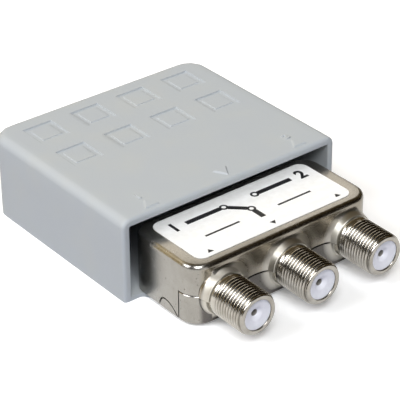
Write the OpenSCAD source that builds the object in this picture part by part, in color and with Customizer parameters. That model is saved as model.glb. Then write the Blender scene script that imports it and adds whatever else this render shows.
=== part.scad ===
// Outdoor satellite switch: a metal module with three threaded coaxial ports that slides in and
// out of a moulded weather cover. The origin is the middle of the cover's mouth, on the plane of
// its back wall. +Y runs into the cover and the ports point along -Y.

/* [Weather cover] */
// Outside width of the cover
cover_w = 57.2; // [56:0.1:70]
// Depth of the cover from its mouth to its closed end
cover_d = 49.5; // [47:0.1:70]
// Height of the cover over the plane of its back wall
cover_h = 19.6; // [19:0.1:30]
// Thickness of the top, side and end walls
cover_wall = 1.7; // [1.2:0.1:2]
// Thickness of the back wall, on which the module slides
floor_t = 0.9; // [0.7:0.1:1.4]
// Radius of the two upright corners at the closed end
cover_corner_r = 5; // [3.5:0.1:8]
// Rounding of the top edges
cover_edge_r = 2; // [1:0.1:3]

/* [Marks on the cover] */
// Outer side of one square pad mark
pad_w = 7.5; // [5:0.1:9]
// Width of the groove that frames a pad
pad_groove = 1.3; // [0.6:0.1:2]
// Depth of that groove
pad_depth = 0.5; // [0.2:0.05:0.8]
// Distance between pads across the cover
pad_pitch = 12.65; // [9.5:0.05:13.5]
// Distance between pads along the cover
pad_row_pitch = 12.5; // [9.5:0.05:14]
// Plain margin between the pads and the closed end
pad_margin = 4.75; // [4:0.05:8]
// Number of pads across the cover
pad_columns = 4; // [2, 3, 4]
// Number of pads along the cover
pad_rows = 2; // [1, 2]
// Width of an arrow mark at its base
arrow_w = 4; // [2:0.1:5]
// Length of an arrow mark
arrow_l = 3.3; // [2:0.1:5]
// How far an arrow mark stands up
arrow_rise = 0.3; // [0.1:0.05:0.5]
// Plain margin between the arrow marks and the mouth
arrow_margin = 1.25; // [1:0.05:3]
// Distance from the middle arrow to each outer one
arrow_pitch = 20; // [12:0.1:23]

/* [Tab under the mouth] */
// How far the back wall runs out in front of the mouth
tab_reach = 12; // [10:0.1:16]
// Width of the tab where it leaves the mouth
tab_root_w = 51.6; // [48:0.1:52]
// Width of the tab at its free end
tab_end_w = 38; // [34:0.1:46]
// Radius of the tab's free corners
tab_end_r = 4; // [2:0.1:4.5]
// Radius of the hollow corners where the tab leaves the mouth
tab_root_r = 1.5; // [0.5:0.1:2]
// Width of a cable tie slot
tie_slot_w = 2.4; // [1.5:0.1:3.5]
// Length of a cable tie slot
tie_slot_l = 6.5; // [4:0.1:7]
// Distance between the two cable tie slots
tie_slot_pitch = 30; // [20:0.1:31]
// Plain margin between the slots and the tab's free end
tie_slot_margin = 2.6; // [2:0.1:3]

/* [Guides in the cover] */
// Distance from the mouth to the front ends of the guide rails
rail_start = 6; // [5:0.1:12]
// Thickness of the rails that hold the module down
rail_t = 1.4; // [1:0.1:2]
// How far those rails lap over the module's top
rail_lap = 1.6; // [1:0.1:2]
// Height of the side rails over the back wall
side_rail_h = 5; // [3:0.1:8]
// Depth of the end stops at the closed end
stop_d = 1; // [0.6:0.1:3]
// Width of an end stop
stop_w = 1.4; // [1:0.1:3]
// Distance between the two end stops
stop_pitch = 30; // [10:0.1:36]

/* [Module] */
// How far the module's front stands out of the mouth at rest
module_out = 17.3; // [16.5:0.1:20]
// Distance from the axis of an outer port to the can's side
port_edge = 7; // [6.7:0.1:7.2]
// Depth of the can from its front to its rear wall
module_d = 21.6; // [21:0.1:23]
// Height of the can
module_h = 13.8; // [13:0.1:14]
// Radius of the can's upright corners
module_corner_r = 4.6; // [3:0.1:5]
// Rounding of the can's top edges
module_edge_r = 1.1; // [0.5:0.1:1.5]
// Thickness of the can's sheet
shell_wall = 0.8; // [0.5:0.05:0.9]
// Thickness of the lid's plate
lid_t = 0.8; // [0.5:0.05:0.9]
// How far the lid's front wall wraps round to the sides
lid_wrap = 5.2; // [5:0.1:6]
// Height of the lid's inner flanges over its plate
lid_flange_h = 3; // [2:0.1:3.5]
// Thickness of the lid's inner flanges
lid_flange_t = 0.6; // [0.4:0.05:1]
// Distance from the front to the top of the pry notch in a side wall
notch_peak = 10; // [8:0.1:11]
// Distance from the front to the rear end of the pry notch
notch_end = 11.7; // [11.2:0.1:14]
// Height of the pry notch
notch_h = 2.5; // [1:0.1:3]
// Margin in front of the label and behind it, on the can's top
label_margin = 2.4; // [1.6:0.1:2.9]
// Margin at each side of the label
label_side_margin = 3.4; // [2.6:0.1:4]
// Thickness of the label
label_t = 0.15; // [0.1:0.01:0.18]

/* [Ports] */
// Distance between the axes of neighbouring ports
port_pitch = 17.1; // [16:0.1:17.3]
// Height of the port axes over the can's base
port_axis_h = 6.6; // [6.5:0.1:6.9]
// Length of a port in front of the can
port_len = 11.6; // [11:0.1:14]
// Outside diameter of the thread
thread_d = 9.5; // [9.3:0.05:9.6]
// Pitch of the thread
thread_pitch = 0.794; // [0.7:0.002:0.82]
// Least length of the plain shoulder between the collar and the thread
shoulder_l = 1.2; // [1:0.1:2]
// Width of a thread crest
crest_w = 0.16; // [0.1:0.01:0.2]
// Width of a thread root
root_w = 0.1; // [0.05:0.01:0.14]
// Bevel at the tip of a port
tip_bevel = 0.4; // [0.2:0.05:0.5]
// Diameter of the plain neck in the can's collar
neck_d = 8.9; // [8.7:0.05:9.1]
// Diameter of the upper collar on the can's front
collar_d = 10; // [9.8:0.1:10.6]
// Length of the upper collar
collar_len = 2; // [1.5:0.1:2.2]
// Diameter of the lower collar on the lid's front
low_collar_d = 10; // [9.8:0.1:10.6]
// Length of the lower collar
low_collar_len = 1.2; // [0.8:0.1:1.5]
// Diameter of the barrel's flange inside the can
flange_d = 10.2; // [9.8:0.1:10.8]
// Thickness of that flange
flange_t = 1; // [0.6:0.1:1.2]
// Bore of a barrel
bore_d = 7.3; // [6.8:0.1:7.6]

/* [Inside the ports] */
// How far the insulator's face lies behind the tip
insulator_recess = 0.35; // [0.2:0.05:0.8]
// Length of the front insulator
insulator_len = 8; // [7:0.1:8.5]
// Mouth of the insulator's funnel
funnel_d = 2.6; // [1.8:0.1:4]
// Depth of the funnel
funnel_depth = 0.9; // [0.5:0.1:1.5]
// Diameter of the straight hole behind the funnel
socket_d = 1.4; // [1.1:0.05:1.6]
// Length of that straight hole
socket_len = 2; // [1.5:0.1:2.5]
// Outside diameter of the spring contact
contact_d = 2.4; // [2:0.1:3]
// Bore of the spring contact
contact_bore_d = 1; // [0.7:0.05:1.05]
// Width of the slits between the contact's fingers
contact_slit = 0.2; // [0.1:0.05:0.3]
// Length of those slits
contact_slit_l = 2.4; // [1.5:0.1:2.6]
// Diameter of the contact's tail
tail_d = 1; // [0.6:0.05:1.2]
// How far the tail lies over the board
tail_reach = 2.4; // [2.2:0.1:3]
// Length of the rear bead
bead_len = 1.5; // [1:0.1:2]

/* [Circuit board] */
// Thickness of the board
board_t = 1; // [0.6:0.1:1.2]
// Clear space between the barrels' flanges and the board
board_front = 0.3; // [0.2:0.05:0.6]
// Leg of the solder fillets along the board's edge
fillet_leg = 0.9; // [0.5:0.1:1.2]
// Length of one of those fillets
fillet_l = 3; // [2:0.1:4]
// Length of a contact's solder joint
joint_l = 2; // [1:0.1:2.2]
// Width of that joint
joint_w = 2.2; // [1.8:0.1:2.6]
// Height of that joint
joint_h = 1.5; // [1.5:0.1:2]
// Body of the control chip
chip_size = [4.9, 3.9, 1.5]; // [1:0.1:5]
// Body of the voltage regulator
regulator_size = [4.5, 2.5, 1.5]; // [1:0.1:5]
// Body of a driver transistor
transistor_size = [2.9, 1.3, 1]; // [0.8:0.1:3]
// Body of the clock resonator
resonator_size = [4.4, 2, 1.2]; // [1:0.1:5]
// Body of a surge diode
surge_size = [3.8, 2.6, 2.2]; // [1:0.1:4.2]
// Body of a choke
choke_size = [3.2, 2.5, 2]; // [1:0.1:3.4]
// Body of a switching diode
pin_diode_size = [1.7, 1.25, 0.9]; // [0.8:0.05:1.8]
// Body of a capacitor
capacitor_size = [2, 1.25, 0.9]; // [0.8:0.05:2.1]
// Body of a resistor
resistor_size = [2, 1.25, 0.5]; // [0.4:0.05:2.1]
// Clear space between neighbouring parts
part_gap = 0.4; // [0.2:0.05:0.5]
// Length of the metal end cap on a small part
cap_l = 0.4; // [0.2:0.05:0.5]
// How far the end caps stand over the body
cap_rise = 0.05; // [0.02:0.01:0.1]
// Width of a lead
lead_w = 0.4; // [0.2:0.05:0.5]
// Length of a lead beyond its body
lead_out = 0.7; // [0.5:0.05:0.9]
// Thickness of a lead
lead_t = 0.2; // [0.1:0.05:0.25]
// Distance between the leads of the chip and the regulator
lead_pitch = 1.27; // [0.9:0.01:1.27]
// Distance between the two front leads of a transistor
transistor_lead_pitch = 1.9; // [1:0.05:2]
// Leads on each side of the control chip
chip_leads = 4; // [2, 3, 4]

/* [Clearances] */
// Running gap under the module
slide_gap = 0.1; // [0.05:0.05:0.2]
// Running gap between the module and the rails
rail_gap = 0.2; // [0.19:0.01:0.4]
// Gap between a piece and its seat
seat_gap = 0.05; // [0.02:0.01:0.08]
// Gap along the seam between the can and its lid
seam_gap = 0.12; // [0.05:0.01:0.2]
// Gap between the board and the can's walls
board_gap = 0.1; // [0.05:0.01:0.15]

/* [Hidden] */
$fn = 64;

// How far a cutter runs past the face that it cuts
over = 1;
// Sides of an object: left, middle and right port
sides = [-1, 0, 1];
// Steps of the arc in the tab's hollow corners
arc_step = 15;
// Angle of a thread flank to the plane across the axis
flank_angle = 30;

module_z = floor_t + slide_gap;
module_w = 2 * (port_pitch + port_edge);
cover_inner_w = cover_w - 2 * cover_wall;
rail_inner_w = module_w + 2 * rail_gap;
hold_down_z = module_z + module_h + rail_gap;
pad_first_y = cover_d - pad_margin - pad_w / 2;

neck_r = neck_d / 2;
crest_r = thread_d / 2;
flank_l = (thread_pitch - crest_w - root_w) / 2;
root_r = crest_r - flank_l / tan(flank_angle);
thread_turns = floor((port_len - tip_bevel - collar_len - shoulder_l) / thread_pitch);
thread_start = port_len - tip_bevel - thread_turns * thread_pitch;
shoulder_start = collar_len + seat_gap;
insulator_face = port_len - insulator_recess;
insulator_rear = insulator_face - insulator_len;
contact_face = insulator_face - funnel_depth - socket_len;

inner_corner_r = module_corner_r - shell_wall;
// The collars run on inside the can as bosses, as deep as the flange needs to clear the can's corner
flange_side_x = port_pitch + flange_d / 2 + seat_gap - (module_w / 2 - module_corner_r);
boss_d = module_corner_r - sqrt(pow(inner_corner_r, 2) - pow(flange_side_x, 2));

board_y = boss_d + flange_t + board_front;
board_w = module_w - 2 * (shell_wall + board_gap);
board_d = module_d - shell_wall - board_gap - board_y;
board_top = port_axis_h - tail_d / 2;
board_corner_r = inner_corner_r - board_gap;
// Middles of the solder fillets along each side, at the two ends of the board's straight edge
side_fillet_y = [board_corner_r + fillet_l / 2, board_d - board_corner_r - fillet_l / 2];

// Rows of parts on the board, measured from the board's front edge
port_row_y = tail_reach + part_gap + surge_size.x / 2;
diode_row_y = port_row_y + surge_size.x / 2 + part_gap + lead_out + transistor_size.y / 2;
chip_row_y = diode_row_y + transistor_size.y / 2 + part_gap + 2 * lead_out + chip_size.y / 2;
// Places along those rows
choke_offset = surge_size.y / 2 + part_gap + choke_size.y / 2;
coupling_offset = surge_size.y / 2 + part_gap + capacitor_size.y / 2;
pin_diode_offset = (pin_diode_size.x + part_gap) / 2;
transistor_offset = (transistor_size.x + part_gap) / 2;
resistor_offset = (resistor_size.x + part_gap) / 2;
resistor_row_offset = (resistor_size.y + part_gap) / 2;
chip_capacitor_x = chip_size.x / 2 + part_gap + capacitor_size.y / 2;
resonator_x = -chip_capacitor_x - capacitor_size.y / 2 - part_gap - resonator_size.x / 2;
regulator_x = chip_capacitor_x + capacitor_size.y / 2 + part_gap + regulator_size.x / 2;

// Outline with square front corners on y = 0 and round rear corners
module end_round_outline(w, d, r) {
    translate([-w / 2, 0]) square([w, d - r]);
    translate([-w / 2 + r, 0]) square([w - 2 * r, d]);
    for (s = [-1, 1]) translate([s * (w / 2 - r), d - r]) circle(r);
}

// Outline with four round corners, its front on y = 0
module round_outline(w, d, r) {
    translate([-w / 2 + r, 0]) square([w - 2 * r, d]);
    translate([-w / 2, r]) square([w, d - 2 * r]);
    for (s = [-1, 1], y = [r, d - r]) translate([s * (w / 2 - r), y]) circle(r);
}

// Slot with round ends along y, centred on the origin
module slot_outline(w, l) {
    translate([-w / 2, -(l - w) / 2]) square([w, l - w]);
    for (s = [-1, 1]) translate([0, s * (l - w) / 2]) circle(w / 2);
}

// Section through a rounded top edge: r deep, h high, with its outer top corner rounded by e
module edge_section(r, h, e) {
    square([r, h - e]);
    square([r - e, h]);
    translate([r - e, h - e]) circle(e);
}

// Cover's outside, with its side, rear and corner top edges rounded
module cover_block() {
    r = cover_corner_r;
    side_x = cover_w / 2 - r;
    translate([-side_x, 0, 0]) cube([2 * side_x, cover_d - r, cover_h]);
    translate([-side_x, cover_d - r, 0]) rotate([90, 0, 90])
        linear_extrude(2 * side_x) edge_section(r, cover_h, cover_edge_r);
    for (s = [0, 1]) mirror([s, 0, 0]) {
        translate([side_x, cover_d - r, 0]) rotate([90, 0, 0])
            linear_extrude(cover_d - r) edge_section(r, cover_h, cover_edge_r);
        translate([side_x, cover_d - r, 0]) rotate_extrude(angle = 90)
            edge_section(r, cover_h, cover_edge_r);
    }
}

// Tab's outline: straight tapered sides, round free corners and hollow root corners
module tab_outline() {
    end_x = tab_end_w / 2 - tab_end_r;
    end_y = -tab_reach + tab_end_r;
    lean = atan2(tab_root_w / 2 - tab_end_w / 2, tab_reach);
    side_x = end_x + tab_end_r * cos(lean);
    side_y = end_y - tab_end_r * sin(lean);
    root_y = -tab_root_r * (1 - sin(lean));
    root_x = side_x + (root_y - side_y) * tan(lean);
    fillet_x = root_x + tab_root_r * cos(lean);
    right = [for (a = [180 - lean:-arc_step:90])
             [fillet_x + tab_root_r * cos(a), -tab_root_r + tab_root_r * sin(a)]];
    left = [for (i = [len(right) - 1:-1:0]) [-right[i].x, right[i].y]];
    polygon(concat([[side_x, side_y]], right, [[fillet_x, over], [-fillet_x, over]], left,
                   [[-side_x, side_y], [-end_x, end_y], [end_x, end_y]]));
    translate([-end_x, -tab_reach]) square([2 * end_x, tab_end_r]);
    for (s = [-1, 1]) translate([s * end_x, end_y]) circle(tab_end_r);
}

module arrow_outline() {
    polygon([[-arrow_w / 2, -arrow_l / 2], [arrow_w / 2, -arrow_l / 2], [0, arrow_l / 2]]);
}

module weather_cover() color("#BDC2C3") {
    difference() {
        union() {
            cover_block();
            linear_extrude(floor_t) tab_outline();
            for (s = sides) translate([s * arrow_pitch, arrow_margin + arrow_l / 2, cover_h - over])
                rotate(s == 0 ? 180 : 0) linear_extrude(over + arrow_rise) arrow_outline();
        }
        translate([0, -over, floor_t]) linear_extrude(cover_h - cover_wall - floor_t)
            end_round_outline(cover_inner_w, cover_d - cover_wall + over, cover_corner_r - cover_wall);
        for (i = [0:pad_columns - 1], j = [0:pad_rows - 1])
            translate([(i - (pad_columns - 1) / 2) * pad_pitch, pad_first_y - j * pad_row_pitch,
                       cover_h - pad_depth])
                linear_extrude(pad_depth + over) difference() {
                    square(pad_w, center = true);
                    square(pad_w - 2 * pad_groove, center = true);
                }
        for (s = [-1, 1])
            translate([s * tie_slot_pitch / 2, -tab_reach + tie_slot_margin + tie_slot_l / 2, -over])
                linear_extrude(floor_t + 2 * over) slot_outline(tie_slot_w, tie_slot_l);
    }
    guide_rails();
    end_stops();
}

// Side rails on the back wall and hold-down rails on the side walls, run into the closed end
module guide_rails() {
    rail_l = cover_d - cover_wall / 2 - cover_corner_r - rail_start;
    for (s = [-1, 1]) {
        side_w = (cover_inner_w - rail_inner_w) / 2 + cover_wall / 2;
        translate([s * (rail_inner_w + side_w) / 2 - side_w / 2, rail_start, floor_t / 2])
            cube([side_w, rail_l, side_rail_h + floor_t / 2]);
        lap_w = side_w + rail_gap + rail_lap;
        lap_x = module_w / 2 - rail_lap + lap_w / 2;
        translate([s * lap_x - lap_w / 2, rail_start, hold_down_z]) cube([lap_w, rail_l, rail_t]);
    }
}

// Two upright ribs that the module's rear wall meets when it is pushed home
module end_stops() {
    for (s = [-1, 1])
        translate([s * stop_pitch / 2 - stop_w / 2, cover_d - cover_wall - stop_d, floor_t / 2])
            cube([stop_w, stop_d + cover_wall / 2, cover_h - cover_wall / 2 - floor_t / 2]);
}

// Places children in the module's own frame: front face on y = 0, base on z = 0
module in_module() {
    translate([0, -module_out, module_z]) children();
}

// Places children on a port's axis, with +Z running outwards from the can's front face
module at_port(side) {
    translate([side * port_pitch, 0, port_axis_h]) rotate([90, 0, 0]) children();
}

// Half of a collar round a port, with its boss inside the can: up is 1 for the upper half and -1 for
// the lower
module half_collar(d, l, up) {
    intersection() {
        translate([0, 0, -boss_d]) cylinder(d = d, h = l + boss_d);
        translate([-d, up > 0 ? seam_gap / 2 : -d - seam_gap / 2, -boss_d]) cube([2 * d, d, l + boss_d]);
    }
}

// Cutter for the necks of all ports, through boss, wall and collar
module neck_holes() {
    for (side = sides) at_port(side) translate([0, 0, -boss_d - over])
        cylinder(r = neck_r + seat_gap, h = boss_d + collar_len + 2 * over);
}

// Can's outside with rounded corners and rounded top edges
module can_block() {
    r = module_corner_r;
    side_x = module_w / 2 - r;
    mid_d = module_d - 2 * r;
    translate([-side_x, r, 0]) cube([2 * side_x, mid_d, module_h]);
    for (t = [0, 1]) translate([0, t * module_d, 0]) mirror([0, t, 0]) {
        translate([side_x, r, 0]) rotate([90, 0, -90])
            linear_extrude(2 * side_x) edge_section(r, module_h, module_edge_r);
        for (s = [0, 1]) mirror([s, 0, 0]) translate([side_x, r, 0]) rotate(-90)
            rotate_extrude(angle = 90) edge_section(r, module_h, module_edge_r);
    }
    for (s = [0, 1]) mirror([s, 0, 0]) translate([side_x, module_d - r, 0]) rotate([90, 0, 0])
        linear_extrude(mid_d) edge_section(r, module_h, module_edge_r);
}

module upper_shell() color("#B4B0AA") in_module() difference() {
    union() {
        difference() {
            can_block();
            translate([0, shell_wall, -over]) linear_extrude(module_h - shell_wall + over)
                round_outline(module_w - 2 * shell_wall, module_d - 2 * shell_wall, inner_corner_r);
            translate([-module_w / 2 - over, -over, -over])
                cube([module_w + 2 * over, lid_wrap + over, port_axis_h + seam_gap / 2 + over]);
            translate([-module_w / 2 - over, 0, 0]) rotate([90, 0, 90])
                linear_extrude(module_w + 2 * over)
                    polygon([[lid_wrap, -over], [lid_wrap, 0], [notch_peak, notch_h], [notch_end, 0],
                             [notch_end, -over]]);
        }
        for (side = sides) at_port(side) half_collar(collar_d, collar_len, 1);
    }
    neck_holes();
}

module bottom_lid() color("#A9A6A0") in_module() difference() {
    inset = shell_wall + seat_gap;
    union() {
        translate([0, inset, 0]) linear_extrude(lid_t)
            round_outline(module_w - 2 * inset, module_d - 2 * inset, module_corner_r - inset);
        difference() {
            intersection() {
                linear_extrude(port_axis_h - seam_gap / 2)
                    round_outline(module_w, module_d, module_corner_r);
                translate([-module_w / 2 - over, -over, -over])
                    cube([module_w + 2 * over, lid_wrap - seam_gap + over, module_h]);
            }
            translate([0, shell_wall, lid_t]) linear_extrude(module_h)
                round_outline(module_w - 2 * shell_wall, module_d - 2 * shell_wall, inner_corner_r);
        }
        for (s = [-1, 1])
            translate([s * (module_w / 2 - inset - lid_flange_t / 2) - lid_flange_t / 2, lid_wrap, lid_t / 2])
                cube([lid_flange_t, module_d - module_corner_r - lid_wrap, lid_flange_h + lid_t / 2]);
        for (side = sides) at_port(side) half_collar(low_collar_d, low_collar_len, -1);
    }
    neck_holes();
}

module face_label() color("#F6F6F3") in_module()
    translate([0, label_margin, module_h]) linear_extrude(label_t)
        round_outline(module_w - 2 * label_side_margin, module_d - 2 * label_margin,
                      module_corner_r - label_margin);

// Barrel: flange inside the can, plain neck, shoulder, ridged thread and bevelled tip
module barrel(side) color("#C2BDB2") in_module() at_port(side) {
    thread = [for (i = [0:thread_turns - 1], p = [[root_r, root_w], [crest_r, root_w + flank_l],
              [crest_r, root_w + flank_l + crest_w], [root_r, thread_pitch]])
              [p.x, thread_start + i * thread_pitch + p.y]];
    rotate_extrude() polygon(concat(
        [[bore_d / 2, -boss_d - flange_t], [flange_d / 2, -boss_d - flange_t],
         [flange_d / 2, -boss_d], [neck_r, -boss_d], [neck_r, shoulder_start],
         [crest_r, shoulder_start], [crest_r, thread_start]],
        thread,
        [[root_r, port_len - tip_bevel], [root_r, port_len], [bore_d / 2, port_len]]));
}

// Front insulator: face with a funnel, a straight hole and a seat for the contact behind it
module insulator(side) color("#E9EBF0") in_module() at_port(side) {
    out_r = bore_d / 2 - seat_gap;
    seat_r = contact_d / 2 + seat_gap;
    rotate_extrude() polygon([[seat_r, insulator_rear], [out_r, insulator_rear], [out_r, insulator_face],
        [funnel_d / 2, insulator_face], [socket_d / 2, insulator_face - funnel_depth],
        [socket_d / 2, contact_face], [seat_r, contact_face]]);
}

// Rear bead: ring at the barrel's inner end, round the contact's tail
module rear_bead(side) color("#DDE0E4") in_module() at_port(side)
    translate([0, 0, -boss_d - flange_t]) difference() {
        cylinder(d = bore_d - 2 * seat_gap, h = bead_len);
        translate([0, 0, -over]) cylinder(d = tail_d + 2 * seat_gap, h = bead_len + 2 * over);
    }

// Spring contact: slit socket in the insulator and a tail that lies on the board
module contact(side) color("#C9A24B") in_module() at_port(side) {
    tail_end = -board_y - tail_reach;
    difference() {
        union() {
            translate([0, 0, insulator_rear])
                cylinder(d = contact_d, h = contact_face - insulator_rear - seat_gap);
            translate([0, 0, tail_end]) cylinder(d = tail_d, h = insulator_rear - tail_end + over);
        }
        translate([0, 0, contact_face - contact_slit_l - over])
            cylinder(d = contact_bore_d, h = contact_slit_l + 2 * over);
        for (turn = [0, 90]) rotate(turn)
            translate([-contact_d, -contact_slit / 2, contact_face - contact_slit_l])
                cube([2 * contact_d, contact_slit, contact_slit_l + over]);
    }
}

// Places children on the board's top, measured from the middle of its front edge
module on_board() {
    in_module() translate([0, board_y, board_top]) children();
}

module circuit_board() color("#2E6B3F") on_board() translate([0, 0, -board_t]) linear_extrude(board_t)
    round_outline(board_w, board_d, board_corner_r);

// Solder fillets between the board and the can's side and rear walls
module board_solder() color("#B9BCC0") on_board() {
    for (s = [-1, 1], y = side_fillet_y)
        translate([s * (board_w / 2 + board_gap), y + s * fillet_l / 2, 0])
            rotate([90, 0, s > 0 ? 0 : 180]) linear_extrude(fillet_l)
                polygon([[0, 0], [0, fillet_leg], [-fillet_leg, 0]]);
    for (s = [-1, 1])
        translate([s * port_pitch - fillet_l / 2, board_d + board_gap, 0])
            rotate([90, 0, 90]) linear_extrude(fillet_l)
                polygon([[0, 0], [0, fillet_leg], [-fillet_leg, 0]]);
}

// Solder round the ends of the three contact tails
module contact_solder() color("#C3C6CA") on_board()
    for (side = sides) translate([side * port_pitch, tail_reach - joint_l / 2, 0]) difference() {
        translate([-joint_w / 2, -joint_l / 2, 0]) cube([joint_w, joint_l, joint_h]);
        translate([0, joint_l / 2 + over, tail_d / 2]) rotate([90, 0, 0])
            cylinder(d = tail_d + 2 * seat_gap, h = joint_l + 2 * over);
    }

// Small part with a metal cap at each end of its length
module capped_part(size) {
    translate([-size.x / 2 + cap_l / 2, -size.y / 2 + cap_rise, cap_rise])
        cube([size.x - cap_l, size.y - 2 * cap_rise, size.z - 2 * cap_rise]);
    for (s = [-1, 1]) translate([s * (size.x - cap_l) / 2 - cap_l / 2, -size.y / 2, 0])
        cube([cap_l, size.y, size.z]);
}

// Moulded package on bent leads, which stand at the places along x on its front and rear sides
module leaded_part(size, front, rear) {
    translate([-size.x / 2, -size.y / 2, lead_t]) cube(size);
    for (s = [-1, 1], x = s < 0 ? front : rear) {
        edge = s * size.y / 2;
        translate([x - lead_w / 2, min(edge, edge + s * lead_out), 0]) cube([lead_w, lead_out, lead_t]);
        translate([x - lead_w / 2, min(edge, edge + s * lead_t), 0])
            cube([lead_w, lead_t, size.z / 2 + lead_t]);
    }
}

module control_chip() color("#26282B") on_board() translate([0, chip_row_y, 0]) {
    leads = [for (i = [0:chip_leads - 1]) (i - (chip_leads - 1) / 2) * lead_pitch];
    leaded_part(chip_size, leads, leads);
}

module voltage_regulator() color("#2B2C30") on_board() translate([regulator_x, chip_row_y, 0])
    leaded_part(regulator_size, [for (i = sides) i * lead_pitch], [0]);

module resonator() color("#A4622C") on_board() translate([resonator_x, chip_row_y, 0])
    capped_part(resonator_size);

module surge_diodes() color("#303134") on_board()
    for (side = sides) translate([side * port_pitch, port_row_y, 0]) rotate(90) capped_part(surge_size);

module rf_chokes() color("#4A4038") on_board()
    for (side = sides) translate([side * port_pitch + choke_offset, port_row_y, 0])
        rotate(90) capped_part(choke_size);

module pin_diodes() color("#1F2124") on_board()
    for (s = [-1, 1], k = [-1, 1])
        translate([s * port_pitch / 2 + k * pin_diode_offset, diode_row_y, 0]) capped_part(pin_diode_size);

module switch_transistors() color("#2A2A2E") on_board()
    for (s = [-1, 1], k = [-1, 1])
        translate([s * port_pitch + k * transistor_offset, diode_row_y, 0])
            leaded_part(transistor_size, [-transistor_lead_pitch / 2, transistor_lead_pitch / 2], [0]);

module chip_capacitors() color("#B79B78") on_board() {
    for (side = sides) translate([side * port_pitch - coupling_offset, port_row_y, 0])
        rotate(90) capped_part(capacitor_size);
    for (s = [-1, 1]) translate([s * chip_capacitor_x, chip_row_y, 0]) rotate(90) capped_part(capacitor_size);
}

module chip_resistors() color("#2C2E33") on_board()
    for (s = [-1, 1], k = [-1, 1], j = [-1, 1])
        translate([s * port_pitch + k * resistor_offset, chip_row_y + j * resistor_row_offset, 0])
            capped_part(resistor_size);

weather_cover();
upper_shell();
bottom_lid();
face_label();
barrel(-1);  // barrel_left
barrel(0);  // barrel_centre
barrel(1);  // barrel_right
insulator(-1);  // insulator_left
insulator(0);  // insulator_centre
insulator(1);  // insulator_right
rear_bead(-1);  // rear_bead_left
rear_bead(0);  // rear_bead_centre
rear_bead(1);  // rear_bead_right
contact(-1);  // contact_left
contact(0);  // contact_centre
contact(1);  // contact_right
circuit_board();
board_solder();
contact_solder();
control_chip();
voltage_regulator();
resonator();
surge_diodes();
rf_chokes();
pin_diodes();
switch_transistors();
chip_capacitors();
chip_resistors();
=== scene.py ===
# Looks of an outdoor satellite switch: a moulded grey weather cover, a tinned can that slides in it,
# three threaded ports and a printed label. Shapes are worked out in millimetres, in the CAD frame.
import math

import bmesh
import bpy
import numpy as np
from mathutils import Matrix, Vector


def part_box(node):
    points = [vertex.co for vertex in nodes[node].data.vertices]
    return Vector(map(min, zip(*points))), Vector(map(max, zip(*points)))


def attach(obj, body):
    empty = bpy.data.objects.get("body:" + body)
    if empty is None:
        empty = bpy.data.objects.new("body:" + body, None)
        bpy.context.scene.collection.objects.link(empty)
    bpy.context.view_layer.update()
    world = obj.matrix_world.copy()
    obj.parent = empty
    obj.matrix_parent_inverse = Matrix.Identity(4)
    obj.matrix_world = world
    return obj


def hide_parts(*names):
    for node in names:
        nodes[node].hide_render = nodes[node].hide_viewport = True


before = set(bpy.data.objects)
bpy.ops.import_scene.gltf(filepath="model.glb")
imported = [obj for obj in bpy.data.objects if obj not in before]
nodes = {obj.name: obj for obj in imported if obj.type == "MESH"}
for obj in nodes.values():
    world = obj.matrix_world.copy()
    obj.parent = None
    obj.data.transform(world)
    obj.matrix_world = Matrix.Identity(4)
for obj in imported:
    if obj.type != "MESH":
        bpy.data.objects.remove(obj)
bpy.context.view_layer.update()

mm = 0.001
meshing = {"weldMm": 0.002, "fineWeldMm": 0.001, "sharpDeg": 35}


def boxMm(node):
    low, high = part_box(node)
    return np.array(low) / mm, np.array(high) / mm


def linear(code):
    # sRGB hex to the linear colour that a shader socket takes
    parts = np.array([int(code[i:i + 2], 16) for i in (1, 3, 5)]) / 255
    light = np.where(parts <= 0.04045, parts / 12.92, ((parts + 0.055) / 1.055) ** 2.4)
    return (*light.tolist(), 1.0)


def perMm(size):
    # Texture scale at which one feature is this many millimetres wide
    return 1 / (size * mm)


def ease(t):
    # Smooth step from 0 to 1
    t = np.clip(t, 0, 1)
    return t * t * (3 - 2 * t)


def quarterTurn(steps):
    # Angles of a quarter circle, in even steps
    return np.linspace(0, math.pi / 2, steps)


def fullTurn(steps):
    # Angles of a whole circle, in even steps, without its first angle again
    return np.linspace(0, 2 * math.pi, steps, endpoint=False)


# Meshes

def cells(rows, cols, wrapCols, start, flip):
    # Corner numbers of every cell of a grid of points, as one array of quads
    r = np.arange(rows - 1)[:, None]
    c = np.arange(cols if wrapCols else cols - 1)[None, :]
    after = (c + 1) % cols
    quads = np.stack(np.broadcast_arrays(r * cols + c, r * cols + after,
                                         (r + 1) * cols + after, (r + 1) * cols + c), -1).reshape(-1, 4)
    return (quads[:, ::-1] if flip else quads) + start


def atHeight(outline, z):
    # Points of a plan outline, all at one height
    return np.concatenate([outline, np.full((len(outline), 1), z)], -1)


def place(seats, away, rho, z):
    # Points at a distance along each seat's normal, at a height
    rho, z, _ = np.broadcast_arrays(rho, z, seats[:, :1])
    return np.concatenate([seats[:, None] + away[:, None] * rho[..., None], z[..., None]], -1)


def weld(mesh, joinMm, collapseMm=None):
    # Joins points that lie together, and drops faces without area
    work = bmesh.new()
    work.from_mesh(mesh)
    bmesh.ops.remove_doubles(work, verts=work.verts, dist=joinMm * mm)
    if collapseMm:
        bmesh.ops.dissolve_degenerate(work, edges=work.edges, dist=collapseMm * mm)
    work.to_mesh(mesh)
    work.free()


def addObject(name, data):
    holder = bpy.data.objects.new(name, data)
    bpy.context.scene.collection.objects.link(holder)
    return holder


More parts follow.
